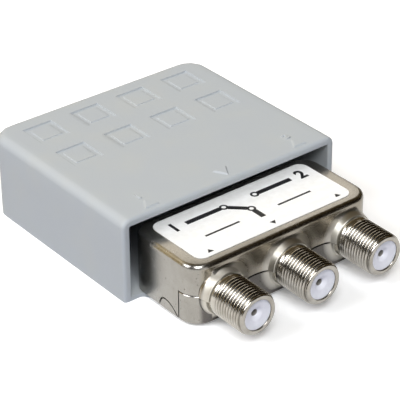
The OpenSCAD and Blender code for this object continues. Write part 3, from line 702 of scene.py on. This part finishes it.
def buildLid():
    # Front wall below the seam, base plate, flanges, the lower halves of the collars and the notch tongues
    big, sheet, nick = can["cornerR"], can["sheet"], can["nick"]
    seats, away = wallPath(canFront + can["wrap"] - can["seamGap"], True)
    high = archHeight(seats, away, axisZ - can["gap"] / 2, -1)[:, None]
    rise = np.linspace(0, 1, lid["wallRows"])
    outer = place(seats, away, big, canBase + nick + (high - canBase - 2 * nick) * rise)
    edge = place(seats, away, np.array([big, big - nick, big - sheet + nick, big - sheet]),
                 np.concatenate([high - nick, high, high, high - nick], 1))
    inner = place(seats, away, big - sheet, np.concatenate([high - nick, canBase + 0 * high], 1))
    foot = place(seats, away, np.array([big - sheet, big - nick, big]),
                 np.array([canBase, canBase, canBase + nick]))
    patches = [{"points": part, "flip": True} for part in (flare(outer), flare(edge), inner, foot)]
    caps = [np.concatenate([outer[end], edge[end, 1:], inner[end, 1:], foot[end, 1:2]])[::turn]
            for end, turn in ((0, 1), (-1, -1))]
    # Base plate inside the can's walls: a quarter circle at each corner
    inset = sheet + lid["slack"]
    quarter, bendR = quarterTurn(lid["cornerSteps"]), big - inset
    corners = ((innerX, innerRear), (-innerX, innerRear), (-innerX, innerFront), (innerX, innerFront))
    turns = [k * math.pi / 2 + quarter for k in range(len(corners))]
    outline = np.concatenate([np.stack([cx + bendR * np.cos(turn), cy + bendR * np.sin(turn)], -1)
                              for (cx, cy), turn in zip(corners, turns)])
    rows = [atHeight(outline, z) for z in (canBase, canBase + sheet)]
    patches.append({"points": np.stack(rows), "closed": True})
    caps += [rows[0][::-1], rows[1]]
    parts, plateHalf = [], canHalf - inset
    for s in (-1, 1):
        left, right = sorted((s * plateHalf, s * (plateHalf - lid["flangeW"])))
        parts.append(roundBar((left, canFront + can["wrap"], canBase + lid["flangeFoot"]),
                              (right, innerRear, canBase + sheet + lid["flangeRise"]), lid["flangeR"]))
    morePatches, moreCaps = gather(parts + [collar(px, can["lowCollarLen"], False) for px in portX])
    return makePiece("canLid", patches + morePatches + [notchTongue(s) for s in (-1, 1)], caps + moreCaps)


dress(buildShell(), "can", "switch_module", "can_metal", "upper_shell")
dress(buildLid(), "lid", "switch_module", "lid_metal", "bottom_lid")

# Ports

port = {"length": canFront - barrelLow[1], "crestR": 4.75, "rootR": 4.4, "neckR": 4.45, "boreR": 3.65,
        "innerEnd": -1.9, "boreDeep": 8.4, "lipR": 3.38, "lipDeep": 0.3, "lipStep": 0.03, "lipEdge": 0.12,
        "tipEdge": 0.14, "shoulderR": 4.74, "shoulderFall": 0.24, "shoulderGap": 0.22, "shoulderEdge": 0.1,
        "pitch": 0.794, "turns": 10, "runOut": 0.8, "bevel": 0.4, "around": 96, "sharpDeg": 50, "hair": 0.02,
        "rootShare": 0.12, "flankShare": 0.37, "bulge": 1.3, "shoulderRows": 7,
        "grooveShade": 0.7, "boreShade": 0.85, "boreSlack": 0.05, "boreFrom": 0.2, "tipShade": 0.3,
        "phases": (0.0, 0.07, 0.14, 0.21, 0.28, 0.34, 0.4, 0.45, 0.55, 0.6, 0.66, 0.72, 0.79, 0.86, 0.93)}


def buildBarrel(name, px):
    # Thread: a ridge with bowed flanks and a small flat, which moves one pitch along the axis with each turn
    pitch, crest, root = port["pitch"], port["crestR"], port["rootR"]
    end = port["length"] - port["bevel"]
    start = end - port["turns"] * pitch
    angle = fullTurn(port["around"])
    step = (np.arange(port["turns"] + 1)[:, None] + port["phases"]).ravel()[:, None]
    along = start + pitch * (step - 1 + angle / (2 * math.pi))
    fromRoot = 0.5 - np.abs(step % 1 - 0.5) - port["rootShare"] / 2
    ridge = 1 - (1 - np.clip(fromRoot / port["flankShare"], 0, 1)) ** port["bulge"] + 0 * angle
    ridge = ridge + (1 - ridge) * (1 - ease((along - start) / port["runOut"]))  # runs out into the shoulder
    ridge = ridge * np.clip((end - along) / port["bevel"], 0, 1)  # bevelled away at the tip
    along = np.clip(along, start, end)
    threadR = root + (crest - root) * ridge
    length, bore, mouth, inner = port["length"], port["boreR"], port["lipR"], port["innerEnd"]
    neck, shoulder, edge = port["neckR"], port["shoulderR"], port["shoulderEdge"]
    ledge = can["collarLen"] + port["shoulderGap"]
    before = [(inner, neck), (ledge, neck), (ledge, shoulder - edge)]
    before += [(ledge + edge + (start - ledge - 2 * edge) * u, shoulder - port["shoulderFall"] * u * u)
               for u in np.linspace(0, 1, port["shoulderRows"])]
    # Edge rolled over the insulator, then the bore
    lip, hair, deep = port["lipEdge"], port["hair"], length - port["lipDeep"]
    after = [(end + hair, root), (length - lip, root - hair), (length, root - port["tipEdge"]),
             (length, mouth + lip), (length - lip, mouth), (deep, mouth), (deep - port["lipStep"], bore),
             (length - port["boreDeep"], bore), (inner, bore)]

    def circles(rows):
        # Distance out and radius of each row, the same all the way round
        return [part + 0 * angle for part in np.hsplit(np.array(rows), 2)]

    bands = circles(before), (along, threadR), circles(after + before[:1])
    out, radius = (np.concatenate(parts) for parts in zip(*bands))
    grid = turned(px, out, radius, angle)
    # Painted shade: a darker colour down in the grooves, in the bore and a little on the tip
    groove = np.clip((crest - radius) / (crest - root), 0, 1) * (out > start) * (out < end)
    inside = (radius < bore + port["boreSlack"]) * (out < length - port["boreFrom"]) * port["boreShade"]
    tip = (out > end + hair / 2) * port["tipShade"]
    shadeAmount = np.maximum(port["grooveShade"] * groove, np.maximum(inside, tip))
    return makePiece(name, [{"points": grid, "closed": True}], sharp=port["sharpDeg"],
                     fields={"groove": shadeAmount.ravel()})


insulator = {"length": 8, "boreR": 1.25, "outerR": 3.6, "rimR": 0.15, "dishDeep": 0.45, "dishR": 3.4,
             "dishFrom": 3.3, "dishTo": 1.6, "around": 64, "rimSteps": 5, "dishRows": 8,
             "funnel": ((0.4, 1.5), (0.46, 1.4), (0.66, 1.1), (0.9, 0.82)),  # depth, radius
             "hole": ((0.94, 0.78), (1.1, 0.72), (2.9, 0.62))}


def buildInsulator(name, px):
    # Turned piece: rounded rim, a face dished like a shallow bowl, and a bevel down to the socket hole
    face = canFront - boxMm("insulator_centre")[0][1]
    length, bore, outer, rim = (insulator[k] for k in ("length", "boreR", "outerR", "rimR"))
    rows = [(length, bore), (length, outer)]
    rows += [(rim - rim * math.sin(a), outer - rim + rim * math.cos(a))
             for a in quarterTurn(insulator["rimSteps"])]
    rows += [(insulator["dishDeep"] * (1 - (r / insulator["dishR"]) ** 2), r)
             for r in np.linspace(insulator["dishFrom"], insulator["dishTo"], insulator["dishRows"])]
    rows += insulator["funnel"]
    start = len(rows)
    rows += [*insulator["hole"], (insulator["hole"][-1][0], bore), (length, bore)]
    # Painted shade: the rows down the socket hole take a darker colour
    dark = (np.arange(len(rows)) > start)[:, None] * np.ones(insulator["around"])
    depth, radius = np.hsplit(np.array(rows), 2)
    grid = turned(px, face - depth, radius, fullTurn(insulator["around"]))
    return makePiece(name, [{"points": grid, "closed": True}], fields={"hole": dark.ravel()})


for side, px in zip(sides, portX):
    dress(buildBarrel(f"threadedBarrel.{side}", px), "port", "switch_module", "port_plating",
          f"barrel_{side}")
    dress(buildInsulator(f"portInsulator.{side}", px), "insulator", "switch_module",
          "insulator_plastic", f"insulator_{side}")

# Printed marks

inkLift = 0.01
mark = {"z": boxMm("face_label")[1][2] + inkLift, "film": 0.008, "bold": 1.3, "thin": 0.55, "contactX": 4.2,
        "contactY": -2.2, "pivotY": -6.2, "outY": -10.2, "lineX": 14.2, "thinX": 5.2, "thinY": -8.6,
        "ringR": 0.75, "ringW": 0.5, "clear": 0.15, "around": 40,
        "arrowX": (-16.9, 0.1, 17.4), "arrowY": -13.3, "arrowW": 1.5, "arrowL": 1.2}
digit = {"weight": 0.035, "printSize": 4.4, "printX": 17.2, "printThick": 0.01,
         "raisedSize": 2.6, "raisedX": 20, "raisedY": 6.2, "raisedThick": 0.5}


def inked(loop):
    # Thin prism under a closed outline that runs anticlockwise: its rim, its top and its underside
    low, high = (atHeight(loop, mark["z"] - d) for d in (mark["film"], 0))
    return {"points": np.stack([low, high]), "closed": True}, [low[::-1], high]


def inkLine(start, end, width):
    # Straight line of ink: both ends shifted half a width to each side
    start, end = np.asarray(start, float), np.asarray(end, float)
    run = (end - start) / np.linalg.norm(end - start)
    across = np.array([run[1], -run[0]]) * width / 2
    return inked([start + across, end + across, end - across, start - across])


def inkRing(cx, cy):
    # Round line of ink: a square section turned about an upright axis
    angle = fullTurn(mark["around"])
    wide, film = mark["ringW"] / 2, mark["film"]
    section = [(wide, -film), (wide, 0), (-wide, 0), (-wide, -film), (wide, -film)]
    rows = [np.stack([cx + (mark["ringR"] + r) * np.cos(angle), cy + (mark["ringR"] + r) * np.sin(angle),
                      mark["z"] + d + 0 * angle], -1) for r, d in section]
    return {"points": np.stack(rows), "closed": True}, []


def numeral(text, size, spot, thick, name):
    # Plain numeral from the built-in font, made a mesh with its place in its points
    curve = bpy.data.curves.new(name, "FONT")
    curve.body, curve.size, curve.extrude = text, size * mm, thick / 2 * mm
    curve.offset = digit["weight"] * size * mm
    curve.align_x, curve.align_y = "CENTER", "CENTER"
    carrier = addObject(name + "Text", curve)
    mesh = bpy.data.meshes.new_from_object(carrier.evaluated_get(bpy.context.evaluated_depsgraph_get()))
    bpy.data.objects.remove(carrier)
    mesh.transform(Matrix.Translation(Vector(spot) * mm))
    weld(mesh, meshing["fineWeldMm"])
    return addObject(name, mesh)


def buildPrint():
    # Line diagram of a two-way switch: two fixed contacts, a lever and the way out, with arrows at the ports
    x, y, pivot, bold = mark["contactX"], mark["contactY"], mark["pivotY"], mark["bold"]
    clear, lineX, thinY = mark["ringR"] + mark["clear"], mark["lineX"], mark["thinY"]
    lever = np.array([-x, y - pivot]) / math.hypot(x, y - pivot) * clear
    parts = [inkRing(0, pivot), inkLine((0, pivot - clear), (0, mark["outY"]), bold),
             inkLine(np.array([0, pivot]) + lever, np.array([-x, y]) - lever, bold)]
    for s in (-1, 1):
        parts += [inkRing(s * x, y), inkLine((s * (x + clear), y), (s * lineX, y), bold),
                  inkLine((s * mark["thinX"], thinY), (s * lineX, thinY), mark["thin"])]
    for ax in mark["arrowX"]:
        tip, half = mark["arrowL"] / 2 * (-1 if abs(ax) < 1 else 1), mark["arrowW"] / 2
        foot = mark["arrowY"] - tip
        loop = [(ax - half, foot), (ax + half, foot), (ax, mark["arrowY"] + tip)]
        parts.append(inked(loop if tip > 0 else loop[::-1]))
    return makePiece("labelDiagram", *gather(parts))


dress(buildPrint(), "ink", "switch_module", "label_film")
for text, s in (("1", -1), ("2", 1)):
    printed = numeral(text, digit["printSize"], (s * digit["printX"], mark["contactY"], mark["z"]),
                      digit["printThick"], f"labelNumeral.{text}")
    dress(printed, "ink", "switch_module", "label_film")
    raised = numeral(text, digit["raisedSize"], (s * digit["raisedX"], digit["raisedY"], coverTop),
                     digit["raisedThick"], f"coverNumeral.{text}")
    dress(raised, "plastic", "cover", "cover_plastic")

# CAD nodes that keep their own shape

carried = {
    "label": ["face_label"], "contact": [f"contact_{side}" for side in sides],
    "insulator": [f"rear_bead_{side}" for side in sides], "board": ["circuit_board"],
    "solder": ["board_solder", "contact_solder"], "ceramic": ["resonator", "chip_capacitors"],
    "ferrite": ["rf_chokes"],
    "package": ["control_chip", "voltage_regulator", "surge_diodes", "pin_diodes", "switch_transistors",
                "chip_resistors"],
}
for finish, names in carried.items():
    for name in names:
        coat(nodes[name], finish)
print("finished", sum(map(len, carried.values())), "inner nodes")

# Studio

studio = {"floor": "#FFFFFF", "bounce": "#8E909E", "lift": 0.18, "floorReach": 4.0, "room": "#584B32",
          "horizon": "#B5B4B4", "horizonTop": 0.08, "roomFrom": 0.25, "gold": "#DDC797",
          "goldSpan": (0.35, 0.65), "rightSpan": (0.08, 0.45), "shade": "#241D12", "shadeSpan": (0.1, -0.3)}
ground = bpy.data.meshes.new("paleFloor")
far = studio["floorReach"]
ground.from_pydata([(-far, -far, 0), (far, -far, 0), (far, far, 0), (-far, far, 0)], [], [(0, 1, 2, 3)])
floorPiece = addObject("paleFloor", ground)
# White paper: the camera, mirrors and clear parts see it white, and it throws back a little less light
floorMaterial, floorTree = newMaterial("whitePaper")
path = addNode(floorTree, "ShaderNodeLightPath")
seen = path.outputs["Is Camera Ray"]
for way in ("Is Glossy Ray", "Is Transmission Ray"):
    seen = addNode(floorTree, "ShaderNodeMath", {"operation": "MAXIMUM"}, {0: seen, 1: path.outputs[way]})
paper = addNode(floorTree, "ShaderNodeMix", {"data_type": "RGBA", "A": linear(studio["bounce"]),
                                             "B": linear(studio["floor"])}, {"Factor": seen})
sheet = addNode(floorTree, "ShaderNodeBsdfDiffuse", links={"Color": paper})
# A little light of its own for the camera alone, so that the paper is white and the shadow soft
lift = addNode(floorTree, "ShaderNodeMath", {"operation": "MULTIPLY", 1: studio["lift"]},
               {0: path.outputs["Is Camera Ray"]})
glow = addNode(floorTree, "ShaderNodeEmission", links={"Strength": lift})
both = addNode(floorTree, "ShaderNodeAddShader", links={0: sheet, 1: glow})
addNode(floorTree, "ShaderNodeOutputMaterial", links={"Surface": both})
ground.materials.append(floorMaterial)

lamps = {  # metres and watts
    "keyBox": {"from": (-2.12, 0.50, 1.95), "size": (1.25, 1.25), "watts": 48, "colour": "#F8FAFF"},
    "topBox": {"from": (-0.92, -1.30, 1.95), "size": (1.1, 1.1), "watts": 51, "colour": "#FAFCFF"},
    "frontFill": {"from": (-0.25, -2.55, 0.75), "size": (1.5, 1.5), "watts": 8, "colour": "#F4F7FF"},
    "backPanel": {"from": (1.20, 2.08, 1.44), "size": (1.8, 1.1), "watts": 10, "colour": "#FFFAF2"},
    "leftPanel": {"from": (-0.95, 1.80, 1.95), "size": (1.2, 0.8), "watts": 2, "colour": "#FFF8EA"},
}
for name, lamp in lamps.items():
    light = bpy.data.lights.new(name, "AREA")
    light.shape, light.energy, light.color = "RECTANGLE", lamp["watts"], linear(lamp["colour"])[:3]
    light.size, light.size_y = lamp["size"]
    holder = addObject(name, light)
    holder.location = lamp["from"]
    holder.rotation_euler = Vector(lamp["from"]).to_track_quat("Z", "Y").to_euler()  # faces the origin

world = bpy.data.worlds.new("studioRoom")
world.use_nodes = True
sky = world.node_tree
# Pale near the horizon, golden behind, dim and warm overhead and on the right, and dark ahead
skyCoords = addNode(sky, "ShaderNodeTexCoord").outputs["Generated"]
towards = addNode(sky, "ShaderNodeSeparateXYZ", links={0: skyCoords})
room = addNode(sky, "ShaderNodeValToRGB",
               {"stops": [(0.0, studio["horizon"]), (studio["horizonTop"], studio["horizon"]),
                          (studio["roomFrom"], studio["room"])]},
               {"Fac": towards.outputs["Z"]})
for axis, span, colour in (("Y", "goldSpan", "gold"), ("X", "rightSpan", "room"),
                           ("Y", "shadeSpan", "shade")):
    share = addNode(sky, "ShaderNodeMapRange", {"From Min": studio[span][0], "From Max": studio[span][1]},
                    {"Value": towards.outputs[axis]})
    room = addNode(sky, "ShaderNodeMix", {"data_type": "RGBA", "B": linear(studio[colour])},
                   {"Factor": share, "A": room})
# The camera sees the room white, where a low view looks past the floor
plain = addNode(sky, "ShaderNodeMix", {"data_type": "RGBA", "B": linear(studio["floor"])},
                {"Factor": addNode(sky, "ShaderNodeLightPath").outputs["Is Camera Ray"], "A": room})
sky.links.new(plain.outputs["Result"], sky.nodes["Background"].inputs["Color"])
bpy.context.scene.world = world

view = {"azimuth": -38.371, "elevation": 31.104, "roll": -0.387, "distance": 393.838, "lens": 165.25,
        "sensor": 36, "clip": (0.01, 20), "aim": (-1.482, 9.158, 10.376)}
turnAz, turnEl, turnRoll = (math.radians(view[k]) for k in ("azimuth", "elevation", "roll"))
back = Vector((math.sin(turnAz) * math.cos(turnEl), -math.cos(turnAz) * math.cos(turnEl), math.sin(turnEl)))
right = Vector((math.cos(turnAz), math.sin(turnAz), 0))
up = back.cross(right)
rolledRight = right * math.cos(turnRoll) + up * math.sin(turnRoll)
rolledUp = up * math.cos(turnRoll) - right * math.sin(turnRoll)
camera = addObject("photoCamera", bpy.data.cameras.new("photoCamera"))
camera.data.lens, camera.data.sensor_width = view["lens"], view["sensor"]
camera.data.clip_start, camera.data.clip_end = view["clip"]
camera.matrix_world = Matrix.Translation((Vector(view["aim"]) + back * view["distance"]) * mm) @ Matrix(
    (rolledRight, rolledUp, back)).transposed().to_4x4()
bpy.context.scene.camera = camera
bpy.context.scene.view_settings.view_transform = "Standard"
print("studio ready")

bpy.context.view_layer.update()
